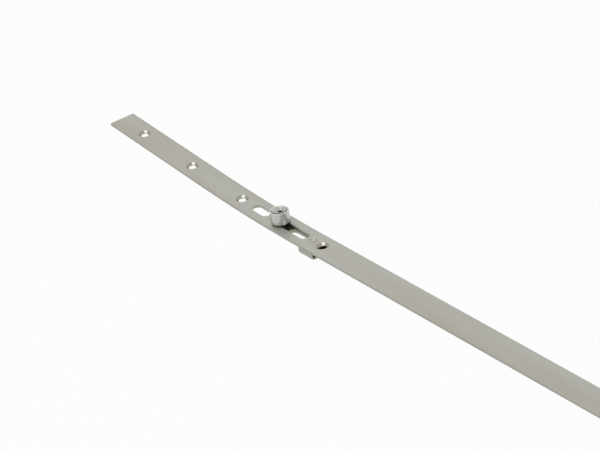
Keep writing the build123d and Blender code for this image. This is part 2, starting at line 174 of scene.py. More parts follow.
class CamSettings(PropertyGroup):
    neck: mm("Neck", "Diameter of the pin's neck in the rod", 4.4)
    flange: mm("Flange", "Diameter of the pin's flange over the plate", 8.2)
    flange_height: mm("Flange height", "From the outer face to the flange's underside", 0.62)
    flange_thickness: mm("Flange thickness", "Thickness of the flange", 0.28)
    journal: mm("Journal", "Diameter of the pin inside the roller", 6)
    roller: mm("Roller", "Outer diameter of the roller", 10.6)
    roller_bottom: mm("Roller bottom", "From the outer face to the roller's underside", 1)
    roller_height: mm("Roller height", "Height of the roller", 6.95)
    roller_edge: mm("Roller edge", "Radius of the roller's outer edges", 0.3)
    rim_width: mm("Rim width", "Width of the roller's rim round the head", 1)
    recess: mm("Recess", "Depth of the recess in the roller's top", 1.5)
    head_gap: mm("Head gap", "Ring of air round the pin's head", 0.2)
    head_rise: mm("Head rise", "How far the head stands above the roller's rim", 0.25)
    dish_rim: mm("Dish rim", "Width of the flat ring round the head's dish", 0.5)
    dish_depth: mm("Dish depth", "Depth of the dish in the head", 0.35)
    socket: mm("Socket", "Hexagon socket over the pin's neck, across its flats", 2.2)
    socket_depth: mm("Socket depth", "Depth of the hexagon socket", 2.2)
    mouth: mm("Socket mouth", "Radius of the cone that leads into the socket", 2)
    mouth_depth: mm("Mouth depth", "Depth of the cone that leads into the socket", 0.5)
    lip: mm("Lip", "Radius on the edges of the head's lip and of the roller's recess", 0.22)
    washer: mm("Washer", "Diameter of the spring washer under the rod", 8.4)
    washer_thickness: mm("Washer thickness", "Thickness of the spring washer", 0.8)
    tail: mm("Tail", "Diameter of the pin's riveted tail", 6.2)
    tail_thickness: mm("Tail thickness", "Thickness of the riveted tail", 0.7)
    shoe_radius: mm("Shoe corners", "Corner radius of the slide shoe", 0.8)
    shoe_thickness: mm("Shoe thickness", "Thickness of the slide shoe", 0.5)
    collar: mm("Collar", "Diameter of the shoe's collar in the plate's slot", 5.5)
    collar_height: mm("Collar height", "From the outer face to the collar's top", 0.5)
    edge: mm("Turned edge", "Broken edge of small turned faces", 0.08)
    play: mm("Play", "Running clearance round the pin", 0.05)


class ClipSettings(PropertyGroup):
    sheet: mm("Sheet", "Sheet of the guide clip", 1)
    bend_radius: mm("Bend radius", "Outer radius of the clip's two bends", 2)
    notch: mm("Notch", "Width of the notch that passes the screw", 5.2)
    edge: mm("Edge", "Broken edge of the pressed sheet", 0.1)
    tail: mm("Rivet tail", "Diameter of the rivet's tail under the clip", 5.6)
    tail_thickness: mm("Tail thickness", "Height of the rivet's tail", 0.8)


class CaseSettings(PropertyGroup):
    rivet: mm("Case rivet", "Shank diameter of the case rivets", 4)
    rivet_head: mm("Case rivet head", "Diameter of a case rivet's head", 6.6)
    rivet_dome: mm("Case rivet dome", "Height of a case rivet's head", 0.9)
    screw: mm("Gearbox screw", "Shank diameter of the gearbox screws", 4)
    screw_head: mm("Screw head", "Diameter of a gearbox screw's head", 7.1)
    screw_neck: mm("Screw neck", "Diameter under the countersunk head", 4.2)
    screw_sink: mm("Head height", "Height of the countersunk head", 1.1)
    screw_length: mm("Screw length", "Length of the gearbox screws", 12)
    screw_pitch: mm("Thread pitch", "Pitch of the screw's thread", 0.7)
    screw_socket: mm("Screw socket", "Hexagon socket across its flats", 2.5)
    screw_socket_depth: mm("Socket depth", "Depth of the screw's socket", 1.6)
    stud_head: mm("Rack stud head", "Diameter of a rack stud's head on the rod", 5.6)
    stud: mm("Rack stud", "Shank diameter of a rack stud", 4)
    edge: mm("Cast edge", "Broken edge of the cast case and blocks", 0.15)


class FinishSettings(PropertyGroup):
    plate: colour("Faceplate", "Zinc-plated satin strip", (0.406, 0.392, 0.363))
    rod: colour("Rods", "Zinc-plated flat bar", (0.325, 0.300, 0.254))
    clip: colour("Clips", "Zinc-plated pressed sheet", (0.385, 0.372, 0.345))
    rivet: colour("Rivets", "Plated rivets", (0.340, 0.328, 0.300))
    # The countersinks' lower roughness is their own; their darker colour is painted shade and dark reflection
    # in the cones
    sink: colour("Countersinks", "Cut face of a countersink", (0.320, 0.309, 0.280))
    cam: colour("Rollers", "Bright turned steel", (0.525, 0.530, 0.515))
    pin: colour("Pins", "Turned steel", (0.470, 0.465, 0.440))
    dish: colour("Dishes", "Pressed dish and socket of a pin's head", (0.330, 0.330, 0.305))
    # Painted shade: this dark colour stands for the shade in the gap round a pin's head in its recess
    seam: colour("Seams", "Greased side of a pin's head in its recess", (0.120, 0.120, 0.110))
    shoe: colour("Shoes", "Black moulded acetal", (0.020, 0.020, 0.021))
    case: colour("Case", "Die-cast zinc", (0.400, 0.400, 0.395))
    gear: colour("Gear", "Lightly greased sintered steel", (0.250, 0.240, 0.225))
    screw: colour("Screws", "Plated screws", (0.450, 0.450, 0.450))
    fineness: FloatProperty(name="Fineness", description="Fineness of every grain", default=1.0, min=0.0)


class StageSettings(PropertyGroup):
    azimuth: degrees("Azimuth", "Camera's azimuth round the left cam, from -Y towards +X", 58.538)
    elevation: degrees("Elevation", "Camera's height over the faceplate", 29.004)
    roll: degrees("Roll", "Camera's turn about its own line of sight", -9.229)
    distance: mm("Distance", "From the camera to the left cam", 1422.83)
    focal_pixels: pixels("Focal length", "Camera's focal length", 2629.22)
    aim_x: pixels("Aim X", "Left cam's foot, from the photograph's left edge", 281.172)
    aim_y: pixels("Aim Y", "Left cam's foot, from the photograph's upper edge", 222.780)
    photo_width: pixels("Width", "Photograph's width", 600)
    photo_height: pixels("Height", "Photograph's height", 450)
    floor_drop: mm("Floor", "From the origin down to the floor", 300)
    floor_size: mm("Floor size", "Side of the floor", 8000)
    floor_colour: colour("Floor colour", "Plain pale floor", (0.88, 0.88, 0.87))
    floor_roughness: share("Floor roughness", "How matt the floor is", 0.8)
    floor_glow: share("Floor glow", "How much of the floor's look is plain white", 0.90)
    soft_light: share("Soft light", "World's strength on the object", 0.75)
    key_power: watts("Key light", "Soft light overhead", 3.55)
    key_place: lamp_place("Key place", "Middle of the key lamp", (-0.01, -0.46, 1.32))
    key_size: mm("Key size", "Side of the key lamp", 750)
    fill_power: watts("Fill light", "Soft light low on the far side", 1.15)
    fill_place: lamp_place("Fill place", "Middle of the fill lamp", (-1.45, 0.89, 0.60))
    fill_size: mm("Fill size", "Side of the fill lamp", 1100)


GROUPS = {
    "plate": FaceplateSettings,
    "rod": RodSettings,
    "cam": CamSettings,
    "clip": ClipSettings,
    "case": CaseSettings,
    "finish": FinishSettings,
    "stage": StageSettings,
}


def settings(name):
    """The scene's own settings of one kind, such as plate or cam."""
    return getattr(bpy.context.scene, f"espagnolette_{name}")


# Shaping helpers

# A hole: its middle along X and its radius, a countersink's lower radius and its depth, and the length by
# which a slot is stretched along X
Hole = namedtuple("Hole", "x radius low_radius sink stretch", defaults=(0.0, 0.0, 0.0))


def sharp_edges(bm):
    """Edges between two faces that turn enough to need rounding."""
    return [e for e in bm.edges if len(e.link_faces) == 2 and e.calc_face_angle() > SHARP]


def round_edges(bm, edges, radius, segments=2):
    """Rounds edges with a circular bevel, held back where it would overlap."""
    bmesh.ops.bevel(
        bm, geom=edges, offset=radius, offset_type="OFFSET", segments=segments, profile=0.5,
        affect="EDGES", clamp_overlap=True, material=-1,
    )


def join_doubles(bm):
    """Merges points that lie together and turns all faces outwards."""
    bmesh.ops.remove_doubles(bm, verts=bm.verts, dist=MERGE)
    bmesh.ops.recalc_face_normals(bm, faces=bm.faces)


def lift(bm, height):
    """Moves a whole mesh up."""
    bmesh.ops.translate(bm, verts=bm.verts, vec=(0, 0, height))


def cut_at(bm, place, normal, clear=False):
    """Adds a line across a mesh where a plane passes, and can clear what lies beyond the plane.

    The normal has unit length, because a shorter one widens the tolerance.
    """
    geometry = bm.verts[:] + bm.edges[:] + bm.faces[:]
    bmesh.ops.bisect_plane(
        bm, geom=geometry, dist=MERGE / 10, plane_co=place, plane_no=normal, clear_outer=clear
    )


def edges_at(verts):
    """The edges at some points, once each, in an order that is the same each run."""
    return list(dict.fromkeys(edge for vert in verts for edge in vert.link_edges))


def loop_round(bm, core, radius, height, segments=HOLE_FACETS):
    """Loop of edges at one distance round a core: the two ends of a rectangle in X and its half width."""
    x0, x1, half_width = core
    half_step = Matrix.Rotation(pi / segments, 4, "Z")
    place = Matrix.Translation((0, 0, height))
    made = bmesh.ops.create_circle(
        bm, cap_ends=False, segments=segments, radius=radius, matrix=place @ half_step
    )
    for vert in made["verts"]:
        vert.co.x += x1 if vert.co.x > 0 else x0
        vert.co.y += half_width if vert.co.y > 0 else -half_width
    return edges_at(made["verts"])


def drop_rim(bm, edges, drop, shrink=1.0, centre=0.0):
    """Draws a wall down from a loop of edges, narrowing it about a centre, and returns the new loop."""
    made = bmesh.ops.extrude_edge_only(bm, edges=edges)["geom"]
    verts = [g for g in made if isinstance(g, bmesh.types.BMVert)]
    bmesh.ops.translate(bm, verts=verts, vec=(0, 0, -drop))
    about = Matrix.Translation((-centre, 0, 0))
    bmesh.ops.scale(bm, verts=verts, vec=(shrink, shrink, 1), space=about)
    return [g for g in made if isinstance(g, bmesh.types.BMEdge)]


def roll_rim(bm, edges, core, radius, side, turn=pi / 2, under=False, steps=3):
    """Rolls a rim from flat to upright, or under from upright to flat; side is -1 inside a hole."""
    x0, x1, half_width = core
    for i in range(steps):
        a, b = turn * i / steps, turn * (i + 1) / steps
        level, steep = sin(b) - sin(a), cos(a) - cos(b)
        out, down = (-steep, level) if under else (level, steep)
        edges = drop_rim(bm, edges, radius * down)
        for vert in {v for e in edges for v in e.verts}:
            x, y, z = vert.co
            near = Vector((min(max(x, x0), x1), min(max(y, -half_width), half_width), z))
            vert.co += side * radius * out * (vert.co - near).normalized()
    return edges


def hole_core(hole):
    """The middle line of a hole, as the core that its rings run round."""
    return hole.x - hole.stretch / 2, hole.x + hole.stretch / 2, 0


def hole_wall(bm, hole, ring, thickness, rim_radius):
    """Lines a hole from its ring in the upper face to its ring in the lower one, which it returns.

    The cone of a countersink takes the piece's second material, whose darker colour is painted shade.
    """
    core = hole_core(hole)
    slope = atan2(hole.sink, hole.radius - hole.low_radius) if hole.sink else pi / 2
    ring = roll_rim(bm, ring, core, rim_radius, -1, slope)
    depth = rim_radius * (1 - cos(slope))
    if hole.sink:
        reached = hole.radius + rim_radius * (1 - sin(slope))
        ring = drop_rim(bm, ring, hole.sink - depth, hole.low_radius / reached, hole.x)
        for face in {f for e in ring for f in e.link_faces}:
            face.material_index = 1
        depth = hole.sink
    ring = drop_rim(bm, ring, thickness - depth - rim_radius)
    return roll_rim(bm, ring, core, rim_radius, -1, under=True)


def fill_between(bm, edges, up):
    """Fills a flat face between its outline and the rings of its holes."""
    bmesh.ops.triangle_fill(bm, use_beauty=True, use_dissolve=False, edges=edges, normal=(0, 0, up))


def punched_bar(x0, x1, width, top, thickness, holes, corner_radius, edge_radius, rim_radius):
    """Flat bar with round corners, rolled edges and holes."""
    bm = bmesh.new()
    core = (x0 + corner_radius, x1 - corner_radius, width / 2 - corner_radius)
    outline = loop_round(bm, core, corner_radius - edge_radius, 0, segments=24)
    rings = [loop_round(bm, hole_core(hole), hole.radius + rim_radius, 0) for hole in holes]
    fill_between(bm, outline + [e for ring in rings for e in ring], 1)
    outline = roll_rim(bm, outline, core, edge_radius, 1)
    outline = drop_rim(bm, outline, thickness - 2 * edge_radius)
    lower = roll_rim(bm, outline, core, edge_radius, 1, under=True)
    for hole, ring in zip(holes, rings):
        lower += hole_wall(bm, hole, ring, thickness, rim_radius)
    fill_between(bm, lower, -1)
    join_doubles(bm)
    lift(bm, top)
    return bm


def turned(profile, steps=TURNED_FACETS):
    """Turns a profile of (radius, height) points about the Z axis."""
    bm = bmesh.new()
    verts = [bm.verts.new((radius, 0, height)) for radius, height in profile]
    edges = [bm.edges.new(pair) for pair in zip(verts, verts[1:])]
    bmesh.ops.spin(
        bm, geom=verts + edges, cent=(0, 0, 0), axis=(0, 0, 1), angle=2 * pi, steps=steps, use_merge=True
    )
    join_doubles(bm)
    return bm


def radius_of(vert):
    """A point's distance from the Z axis."""
    return hypot(vert.co.x, vert.co.y)


def break_and_mark(bm, edge=0.0, segments=2):
    """Breaks the edges that are still sharp, and keeps each point's radius and height for a turned finish."""
    if edge:
        round_edges(bm, sharp_edges(bm), edge, segments)
    layer = bm.loops.layers.uv.new("turning")
    for face in bm.faces:
        for loop in face.loops:
            loop[layer].uv = (radius_of(loop.vert), loop.vert.co.z)


def inner_ring(bm, rim, segments, radius, x, height):
    """Joins an open rim to a new circle inside it, and returns the circle's edges."""
    place = Matrix.Translation((x, 0, height))
    made = bmesh.ops.create_circle(bm, cap_ends=False, segments=segments, radius=radius, matrix=place)
    ring = edges_at(made["verts"])
    fill_between(bm, rim + ring, 1)
    return ring


def hexagon_socket(bm, across, depth, height, x=0.0, mouth=0.0, mouth_depth=0.0):
    """Closes the open rim at a height with a flat ring, a conical mouth and a hexagon socket."""
    rim = [e for e in bm.edges if e.is_boundary and abs(e.verts[0].co.z - height) < MERGE]
    corner = across / 2 / cos(pi / 6)
    if mouth:
        rim = inner_ring(bm, rim, HOLE_FACETS, mouth, x, height)
        rim = drop_rim(bm, rim, mouth_depth, CONE_FOOT * corner / mouth, x)
    hexagon = inner_ring(bm, rim, 6, corner, x, height - mouth_depth)
    floor = drop_rim(bm, hexagon, depth - mouth_depth)
    bottom = bmesh.ops.edgeloop_fill(bm, edges=floor)["faces"]
    point = bmesh.ops.poke(bm, faces=bottom)["verts"]
    bmesh.ops.translate(bm, verts=point, vec=(0, 0, -across * DRILL_POINT))
    bmesh.ops.recalc_face_normals(bm, faces=bm.faces)


def mesh_of(bm, name):
    """Turns a bmesh into a mesh, and frees it."""
    mesh = bpy.data.meshes.new(name)
    bm.to_mesh(mesh)
    bm.free()
    return mesh


def add_object(name, data):
    """New object in the scene."""
    thing = bpy.data.objects.new(name, data)
    bpy.context.scene.collection.objects.link(thing)
    return thing


def even_shading(thing):
    """Shades large faces flat up to their rounded edges."""
    shading = thing.modifiers.new("Even shading", "WEIGHTED_NORMAL")
    shading.weight = 100
    return shading


def gather(parts):
    """Joins finished parts, each with its own place, into one bmesh."""
    whole = bmesh.new()
    for part, place in parts:
        bmesh.ops.transform(part, matrix=place, verts=part.verts)
        mesh = mesh_of(part, "part")
        whole.from_mesh(mesh)
        bpy.data.meshes.remove(mesh)
    return whole


def make_piece(bm, name, body, finishes, nodes):
    """Makes the object of a shape that stands for CAD nodes, on the body that carries it."""
    for face in bm.faces:
        face.smooth = True
    for edge in sharp_edges(bm):
        edge.smooth = False
    mesh = mesh_of(bm, name)
    for short_name in finishes:
        mesh.materials.append(finish(short_name))
    piece = add_object(name, mesh)
    even_shading(piece).keep_sharp = True
    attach(piece, body)
    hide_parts(*nodes)


def dress_node(name, finish_name, edge=0.0):
    """Gives a CAD node its finish and, where it helps, lightly broken edges."""
    node = frame["nodes"][name]
    node.data.materials.clear()
    node.data.materials.append(finish(finish_name))
    if edge:
        weld = node.modifiers.new("Join facets", "WELD")
        weld.merge_threshold = MERGE
        flat = node.modifiers.new("Whole faces", "DECIMATE")
        flat.decimate_type = "DISSOLVE"
        flat.angle_limit = FLAT
        bevel = node.modifiers.new("Broken edges", "BEVEL")
        bevel.width = edge
        bevel.segments = 2
        bevel.limit_method = "ANGLE"
        bevel.angle_limit = SHARP
        even_shading(node)


# Finishes

# Noise per metre along X, Y and Z, or along a turned piece's radius and height
FINE_LINES, COARSE_LINES, PLATING_CLOUDS = (90.0, 9000.0, 9000.0), (14.0, 1500.0, 1500.0), (7.0, 90.0, 90.0)
TOOL_RINGS, TURNED_CLOUDS = (14000.0, 9000.0, 1.0), (400.0, 400.0, 400.0)
PEBBLE, STAINS = (4200.0, 4200.0, 4200.0), (130.0, 130.0, 130.0)
# Share of the fine lines in the rolled grain
FINE_SHARE = 0.6
# Where nearly all of a noise lies
NOISE_LOW, NOISE_HIGH = 0.3, 0.7
# Depth of the grain in metres
RELIEF_DEPTH = 0.00001


def add_node(tree, kind, values=None):
    """New shader node, with values for some of its inputs."""
    node = tree.nodes.new(f"ShaderNode{kind}")
    for title, value in (values or {}).items():
        node.inputs[title].default_value = value
    return node


def grain_group(name, outputs):
    """Empty shader group with the fineness of its grain as input and varying values as outputs."""
    group = bpy.data.node_groups.new(name, "ShaderNodeTree")
    fineness = group.interface.new_socket(name="Fineness", in_out="INPUT", socket_type="NodeSocketFloat")
    fineness.default_value = 1.0
    for title in outputs:
        group.interface.new_socket(name=title, in_out="OUTPUT", socket_type="NodeSocketFloat")
    group.nodes.new("NodeGroupInput")
    return group, group.nodes.new("NodeGroupOutput").inputs


def object_place(group):
    """Object coordinates."""
    return add_node(group, "TexCoord").outputs["Object"]


def stretched_noise(group, place, stretch, detail=2.0):
    """Noise over a place, stretched differently along X, Y and Z, and scaled by the group's fineness."""
    mapping = add_node(group, "Mapping", {"Scale": stretch})
    noise = add_node(group, "TexNoise", {"Detail": detail})
    group.links.new(place, mapping.inputs["Vector"])
    group.links.new(mapping.outputs["Vector"], noise.inputs["Vector"])
    group.links.new(group.nodes["Group Input"].outputs["Fineness"], noise.inputs["Scale"])
    return noise.outputs["Fac"]


def math_node(tree, operation, a, b):
    """Math node with two inputs, each a socket or a number."""
    node = add_node(tree, "Math")
    node.operation = operation
    for socket, value in zip(node.inputs, (a, b)):
        if isinstance(value, float):
            socket.default_value = value
        else:
            tree.links.new(value, socket)
    return node.outputs[0]


def rolled_grain():
    """Fine lines that rolling and polishing leave along X, and faint clouds in the plating."""
    group, out = grain_group("rolled grain", ("Lines", "Clouds"))
    place = object_place(group)
    fine = math_node(group, "MULTIPLY", stretched_noise(group, place, FINE_LINES), FINE_SHARE)
    coarse = math_node(group, "MULTIPLY", stretched_noise(group, place, COARSE_LINES), 1 - FINE_SHARE)
    group.links.new(math_node(group, "ADD", fine, coarse), out["Lines"])
    group.links.new(stretched_noise(group, place, PLATING_CLOUDS, detail=4.0), out["Clouds"])


def turned_grain():
    """Fine rings that a lathe tool leaves, from each point's radius and height."""
    group, out = grain_group("turned grain", ("Rings", "Clouds"))
    turning = add_node(group, "UVMap")
    turning.uv_map = "turning"
    group.links.new(stretched_noise(group, turning.outputs["UV"], TOOL_RINGS), out["Rings"])
    group.links.new(stretched_noise(group, object_place(group), TURNED_CLOUDS, detail=3.0), out["Clouds"])


def cast_grain():
    """Fine pebbled skin of a casting or moulding, and its faint stains."""
    group, out = grain_group("cast grain", ("Pebble", "Clouds"))
    place = object_place(group)
    group.links.new(stretched_noise(group, place, PEBBLE, detail=4.0), out["Pebble"])
    group.links.new(stretched_noise(group, place, STAINS, detail=4.0), out["Clouds"])


def between(tree, noise, low, high):
    """Maps a noise to a range."""
    spans = {"From Min": NOISE_LOW, "From Max": NOISE_HIGH, "To Min": low, "To Max": high}
    node = add_node(tree, "MapRange", spans)
    tree.links.new(noise, node.inputs["Value"])
    return node.outputs["Result"]


def make_finish(name, base, grain, relief, roughness, spread, bump, metallic, tint):
    """Finish whose colour, roughness and relief vary with the outputs of a grain group."""
    material = bpy.data.materials.new(name)
    material.use_nodes = True
    tree = material.node_tree
    links = tree.links
    shader = tree.nodes["Principled BSDF"]
    shader.inputs["Metallic"].default_value = metallic
    group = add_node(tree, "Group")
    group.node_tree = bpy.data.node_groups[grain]
    group.inputs["Fineness"].default_value = settings("finish").fineness
    mix = add_node(tree, "Mix")
    mix.data_type = "RGBA"
    # Dark patches lean a little to warm and light ones to cool
    hint = tint / 3
    warm, cool = (1 + hint, 1.0, 1 - tint), (1 - hint, 1 + hint, 1.0)
    mix.inputs["A"].default_value = (*[c * (1 - tint) * t for c, t in zip(base, warm)], 1)
    mix.inputs["B"].default_value = (*[min(c * (1 + tint) * t, 1) for c, t in zip(base, cool)], 1)
    links.new(between(tree, group.outputs["Clouds"], 0, 1), mix.inputs["Factor"])
    links.new(mix.outputs["Result"], shader.inputs["Base Color"])
    rough = between(tree, group.outputs[relief], roughness - spread, roughness + spread)
    links.new(rough, shader.inputs["Roughness"])
    height = add_node(tree, "Bump", {"Strength": bump, "Distance": RELIEF_DEPTH})
    links.new(group.outputs[relief], height.inputs["Height"])
    links.new(height.outputs["Normal"], shader.inputs["Normal"])
    material.diffuse_color = (*base, 1)


def finish(name):
    """A finish by its short name."""
    return bpy.data.materials[f"espagnolette {name}"]


class EspagnoletteOperator:
    """What the operators share: they can be undone."""

    bl_options = {"REGISTER", "UNDO"}


class ESPAGNOLETTE_OT_finishes(EspagnoletteOperator, Operator):
    """Make the plated, turned, cast and moulded finishes"""

    bl_idname = "espagnolette.finishes"
    bl_label = "Finishes"

    def execute(self, context):
        rolled_grain()
        turned_grain()
        cast_grain()
        # Grain, the output of it that gives the relief, roughness and its spread, bump, metallic, tint
        rows = {
            "plate": ("rolled grain", "Lines", 0.50, 0.05, 0.20, 0.8, 0.06),
            # Countersinks are darkened by painted shade
            "sink": ("cast grain", "Pebble", 0.19, 0.05, 0.10, 1.0, 0.03),
            "rod": ("rolled grain", "Lines", 0.38, 0.06, 0.30, 1.0, 0.08),
            "clip": ("rolled grain", "Lines", 0.36, 0.05, 0.25, 1.0, 0.05),
            "rivet": ("turned grain", "Rings", 0.30, 0.06, 0.25, 1.0, 0.05),
            "cam": ("turned grain", "Rings", 0.31, 0.05, 0.20, 1.0, 0.04),
            "pin": ("turned grain", "Rings", 0.28, 0.06, 0.30, 1.0, 0.06),
            "dish": ("cast grain", "Pebble", 0.36, 0.08, 0.50, 1.0, 0.10),
            # Painted shade of the gap round a pin's head
            "seam": ("cast grain", "Pebble", 0.40, 0.06, 0.30, 1.0, 0.08),
            "screw": ("turned grain", "Rings", 0.30, 0.06, 0.20, 1.0, 0.05),
            "case": ("cast grain", "Pebble", 0.48, 0.06, 0.35, 1.0, 0.05),
            "gear": ("cast grain", "Pebble", 0.40, 0.08, 0.45, 1.0, 0.10),
            "shoe": ("cast grain", "Pebble", 0.45, 0.05, 0.15, 0.0, 0.15),
        }
        for name, row in rows.items():
            make_finish(f"espagnolette {name}", getattr(settings("finish"), name), *row)
        return {"FINISHED"}


# Faceplate


def plate_end():
    """X of the strip's straight end, which is its half length."""
    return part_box("faceplate")[1].x


def bend_left_end(bm):
    """Lays the flat strip's left end on its bow."""
    plate = settings("plate")
    start = -plate_end() + plate.pin_from_end + plate.bow_from_pin
    radius = plate.bow_length / plate.bow_angle
    steps = int(plate.bow_length / BOW_FACET)
    for i in range(steps + 1):
        cut_at(bm, (start - plate.bow_length * i / steps, 0, 0), (1, 0, 0))
    for vert in bm.verts:
        away = start - vert.co.x
        if away <= 0:
            continue
        turn = min(away / radius, plate.bow_angle)
        beyond = max(away - plate.bow_length, 0)
        above = vert.co.z - plate.thickness
        vert.co.x = start - radius * sin(turn) - beyond * cos(turn) + above * sin(turn)
        vert.co.z = plate.thickness + radius * (1 - cos(turn)) + beyond * sin(turn) + above * cos(turn)


def faceplate_holes(plate, end):
    """Every hole of the strip while it is flat: fixing holes, oblongs, cam slots and rivet holes."""
    from_end = [plate.first_screw + i * plate.screw_pitch for i in range(plate.end_screws)]
    from_end.append(plate.pin_from_end + plate.inner_screw)
    screws = [end - place for place in from_end] + [plate.gearbox_screw]
    pin = end - plate.pin_from_end
    oblong = plate.oblong_length - plate.oblong_width
    slot = plate.slot_outer + plate.slot_inner - plate.slot_width
    slot_middle = pin + (plate.slot_outer - plate.slot_inner) / 2
    head, shank = plate.rivet_head / 2 + plate.rivet_play, plate.rivet_shank / 2 + plate.rivet_play
    holes = []
    for sign in SIDES.values():
        for x in screws:
            holes.append(Hole(sign * x, plate.screw_head / 2, plate.screw_hole / 2, plate.sink_depth))
        holes.append(Hole(sign * (pin - plate.rivet_from_pin), head, shank, plate.rivet_sink))
        holes.append(Hole(sign * (pin + plate.oblong_from_pin), plate.oblong_width / 2, stretch=oblong))
        holes.append(Hole(sign * slot_middle, plate.slot_width / 2, stretch=slot))
    return holes


class ESPAGNOLETTE_OT_faceplate(EspagnoletteOperator, Operator):
    """Punch the faceplate and bend its left end"""

    bl_idname = "espagnolette.faceplate"
    bl_label = "Faceplate"

    def execute(self, context):
        plate, end = settings("plate"), plate_end()
        bm = punched_bar(
            -end, end, 2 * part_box("faceplate")[1].y, plate.thickness, plate.thickness,
            faceplate_holes(plate, end), plate.corner_radius, plate.edge_radius, plate.rim_radius,
        )
        bend_left_end(bm)
        make_piece(bm, "faceplate_strip", "fixed_part", ["plate", "sink"], ["faceplate"])
        return {"FINISHED"}


# Drive rods


def rod_slots(side, sign):
    """The holes of one drive rod: a slot beside the cam, one for the gearbox screw, and the pin's bore."""
    plate, rod, cam = settings("plate"), settings("rod"), settings("cam")
    pin = joint_place(f"{side}_cam_adjust").x
    shoe_low, shoe_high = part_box(f"cam_glide_{side}")
    near = pin - sign * ((shoe_high.x - shoe_low.x) / 2 + rod.slot_gap)
    past_screw = plate_end() - plate.pin_from_end - plate.inner_screw - rod.slot_past_screw
    far = sign * (past_screw - (rod.travel if sign > 0 else 0))
    screw, reach = sign * plate.gearbox_screw, rod.screw_slot_width / 2
    beside_cam = (near, far, rod.slot_width)
    at_screw = (screw - rod.travel - reach, screw + reach, 2 * reach)
    holes = []
    for x0, x1, width in (beside_cam, at_screw):
        holes.append(Hole((x0 + x1) / 2, width / 2, stretch=abs(x1 - x0) - width))
    holes.append(Hole(pin, cam.neck / 2 + cam.play))
    return holes


class ESPAGNOLETTE_OT_rods(EspagnoletteOperator, Operator):
    """Make the two flat drive rods"""

    bl_idname = "espagnolette.rods"
    bl_label = "Drive rods"

    def execute(self, context):
        rod = settings("rod")
        for side, sign in SIDES.items():
            name = f"drive_rod_{side}"
            low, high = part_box(name)
            bm = punched_bar(
                low.x, high.x, high.y - low.y, high.z, high.z - low.z, rod_slots(side, sign),
                rod.end_radius, rod.edge_radius, rod.edge_radius / 2,
            )
            make_piece(bm, f"{name}_bar", "drive_rods", ["rod"], [name])
        return {"FINISHED"}


# Roller cams


def roller_shape(cam):
    """Roller with its bore and the recess for the pin's head, standing on its own axis."""
    outer, bore = cam.roller / 2, cam.journal / 2 + cam.play
    low, high = cam.roller_bottom, cam.roller_bottom + cam.roller_height
    recess, shelf = outer - cam.rim_width, high - cam.recess
    bm = turned([
        (bore, low), (outer, low), (outer, high), (recess, high), (recess, shelf), (bore, shelf), (bore, low),
    ], ROLLER_FACETS)
    big = [e for e in sharp_edges(bm) if min(radius_of(v) for v in e.verts) > outer - MERGE]
    round_edges(bm, big, cam.roller_edge, segments=5)
    lips = [
        e for e in sharp_edges(bm) if max(abs(radius_of(v) - recess) + high - v.co.z for v in e.verts) < MERGE
    ]
    round_edges(bm, lips, cam.lip, segments=4)
    break_and_mark(bm, cam.edge)
    return bm


def pin_head_shape(cam, offset):
    """The pin's upper part about the roller's axis, with its socket over the neck, at an offset.

    The dish's floor and its socket take the second material, and the side of the head the third, whose dark
    colour is painted shade in the gap round the head.
    """
    low = cam.flange_height
    shoulder = low + cam.flange_thickness
    high = cam.roller_bottom + cam.roller_height
    head_low = high - cam.recess + 2 * cam.play
    head_high = high + cam.head_rise
    head = cam.roller / 2 - cam.rim_width - cam.head_gap
    dish = head - cam.dish_rim
    floor = head_high - cam.dish_depth
    bm = turned([
        (0, low), (cam.flange / 2, low), (cam.flange / 2, shoulder), (cam.journal / 2, shoulder),
        (cam.journal / 2, head_low), (head, head_low), (head, head_high), (dish, head_high),
        (dish - cam.dish_depth, floor), (dish - DISH_REACH * cam.dish_depth, floor),
    ])
    lips = [e for e in sharp_edges(bm) if min(v.co.z for v in e.verts) > head_high - MERGE]
    round_edges(bm, lips, cam.lip, segments=4)
    round_edges(bm, sharp_edges(bm), cam.edge)
    turned_faces = set(bm.faces)
    for face in turned_faces:
        # The side of the head in the roller's recess takes the third finish, whose dark colour is painted
        # shade
        middle = face.calc_center_median()
        if middle.z > head_low and hypot(middle.x, middle.y) > head - cam.lip / 2:
            face.material_index = 2
    hexagon_socket(bm, cam.socket, cam.socket_depth, floor, offset, cam.mouth, cam.mouth_depth)
    for face in set(bm.faces) - turned_faces:
        face.material_index = 1
    break_and_mark(bm)
    return bm


def pin_neck_shape(cam, rod_under):
    """The pin's lower part about its own axis: neck and riveted tail."""
    tail_high = rod_under - cam.washer_thickness - 2 * cam.play
    tail_low = tail_high - cam.tail_thickness
    neck_high = cam.flange_height + cam.edge
    neck, tail = cam.neck / 2, cam.tail / 2
    bm = turned([
        (0, tail_low), (tail - cam.tail_thickness / 2, tail_low), (tail, (tail_low + tail_high) / 2),
        (tail, tail_high), (neck, tail_high), (neck, neck_high), (0, neck_high),
    ])
    break_and_mark(bm, cam.edge)
    return bm


def ring_shape(bore, outer, low, high):
    """Plain ring."""
    return turned([(bore, low), (outer, low), (outer, high), (bore, high), (bore, low)])


def washer_shape(cam, rod_under):
    """Spring washer between the rod and the pin's tail."""
    low = rod_under - cam.washer_thickness
    bm = ring_shape(cam.neck / 2 + cam.play, cam.washer / 2, low, rod_under)
    break_and_mark(bm, 2 * cam.edge, segments=3)
    return bm


def shoe_shapes(cam, node):
    """The parts of a black slide shoe: a thin plate with round corners and a collar, bored for the neck."""
    low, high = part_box(node)
    middle, plate_top = (low.x + high.x) / 2, low.z + cam.shoe_thickness
    bore = cam.neck / 2 + cam.play
    plate = punched_bar(
        low.x - middle, high.x - middle, high.y - low.y, plate_top, cam.shoe_thickness,
        [Hole(0, bore)], cam.shoe_radius, cam.edge, cam.edge / 2,
    )
    collar = ring_shape(bore, cam.collar / 2, plate_top, settings("plate").thickness + cam.collar_height)
    round_edges(collar, sharp_edges(collar), cam.edge)
    return plate, collar


